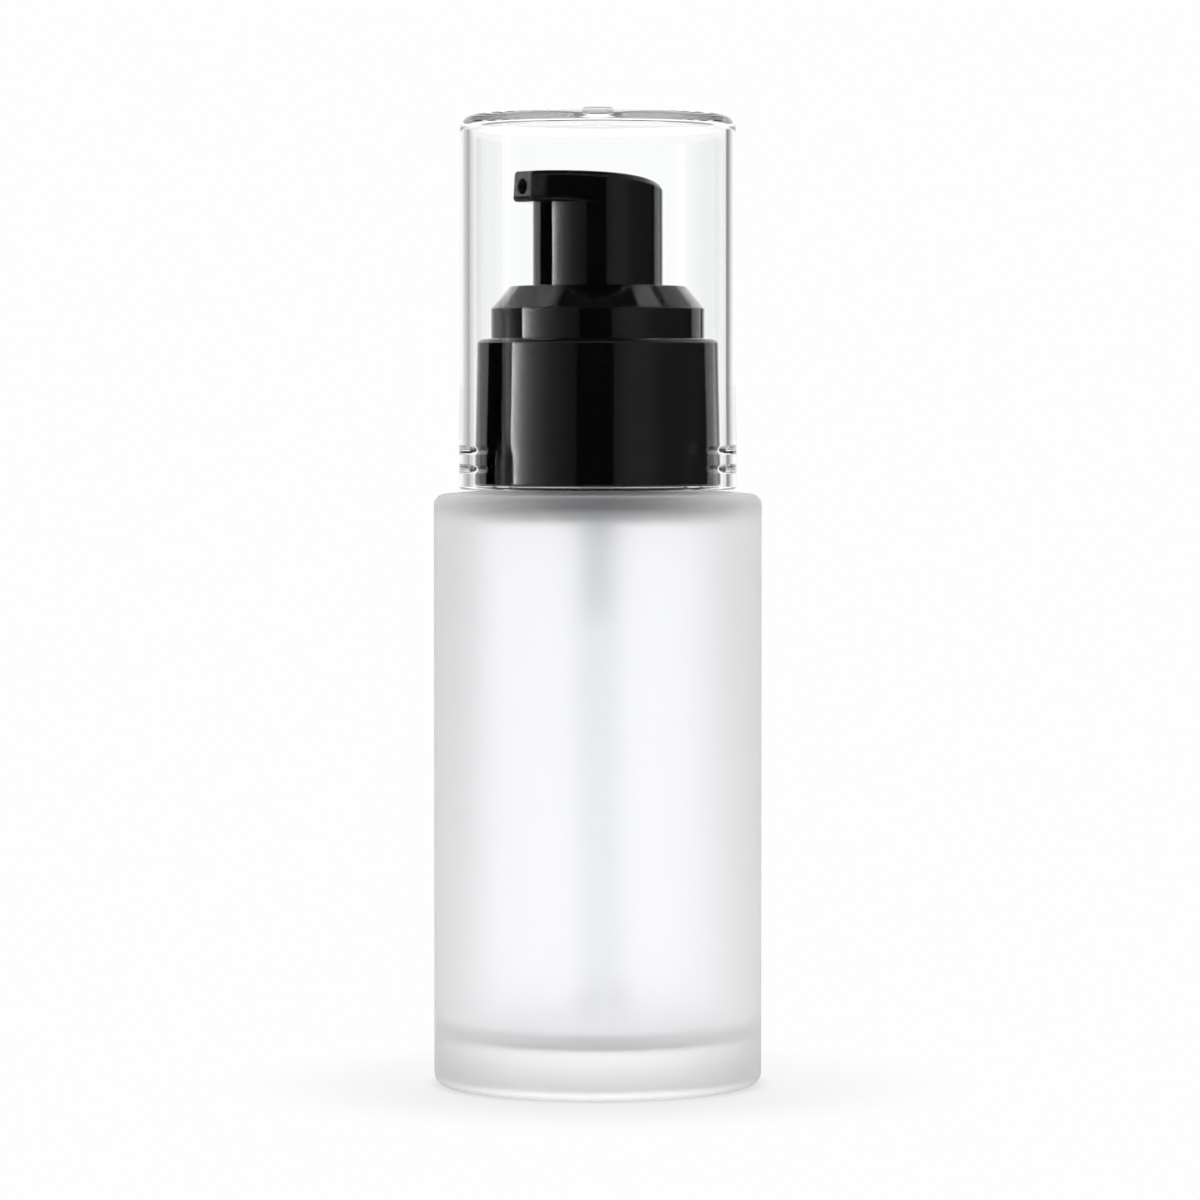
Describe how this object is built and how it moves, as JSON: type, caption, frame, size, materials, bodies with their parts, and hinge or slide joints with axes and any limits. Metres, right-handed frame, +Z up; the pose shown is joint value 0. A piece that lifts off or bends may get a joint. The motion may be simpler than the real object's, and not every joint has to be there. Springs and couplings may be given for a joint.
{
  "type": "serum pump bottle",
  "caption": "Cylindrical frosted glass serum bottle with a glossy black treatment pump and a clear pull-off overcap.",
  "frame": {"origin": "centre of the bottle's base, on the plane of its contact ring", "axes": "+Z up along the bottle's axis; the nozzle points along -Y"},
  "size_m": [0.035, 0.035, 0.1043],
  "materials": {
    "frosted_glass": "frosted outside, smooth inside",
    "clear_plastic": "clear, polished",
    "black_plastic": "gloss",
    "natural_plastic": "translucent natural",
    "white_plastic": "moulded white",
    "steel": "stainless"
  },
  "bodies": {
    "bottle": {"bottle": "frosted_glass"},
    "pump": {"housing": "natural_plastic", "stem_guide": "white_plastic", "gasket": "white_plastic", "dip_tube": "natural_plastic", "spring": "steel"},
    "closure": {"closure": "black_plastic", "collar_sleeve": "black_plastic", "collar_ring": "black_plastic"},
    "overcap": {"overcap": "clear_plastic"},
    "plunger": {"valve_rod": "white_plastic", "stem": "white_plastic"},
    "piston": {"piston": "white_plastic"},
    "actuator": {"actuator": "black_plastic"},
    "inlet_ball": {"inlet_ball": "steel"}
  },
  "joints": [
    {"name": "pump_rise", "type": "slide", "parent": "bottle", "child": "pump", "axis": [0, 0, 1], "range_m": [0, 0.0048]},
    {"name": "closure_turn", "type": "hinge", "parent": "pump", "child": "closure", "pos_m": [0, 0, 0.0787], "axis": [0, 0, 1], "range_deg": [0, 540]},
    {"name": "overcap_lift", "type": "slide", "parent": "closure", "child": "overcap", "axis": [0, 0, 1], "range_m": [0, 0.042]},
    {"name": "pump_stroke", "type": "slide", "parent": "pump", "child": "plunger", "axis": [0, 0, -1], "range_m": [0, 0.0045], "stiffness_N_per_m": 2000, "deforming": ["spring"]},
    {"name": "actuator_swivel", "type": "hinge", "parent": "plunger", "child": "actuator", "pos_m": [0, 0, 0.0915], "axis": [0, 0, 1], "continuous": true},
    {"name": "piston_lag", "type": "slide", "parent": "plunger", "child": "piston", "axis": [0, 0, 1], "range_m": [0, 0.0008]},
    {"name": "inlet_ball_lift", "type": "slide", "parent": "pump", "child": "inlet_ball", "axis": [0, 0, 1], "range_m": [0, 0.0007]}
  ],
  "couplings": [
    {"joint": "pump_rise", "follows": "closure_turn", "m_per_rad": 0.00050532}
  ]
}
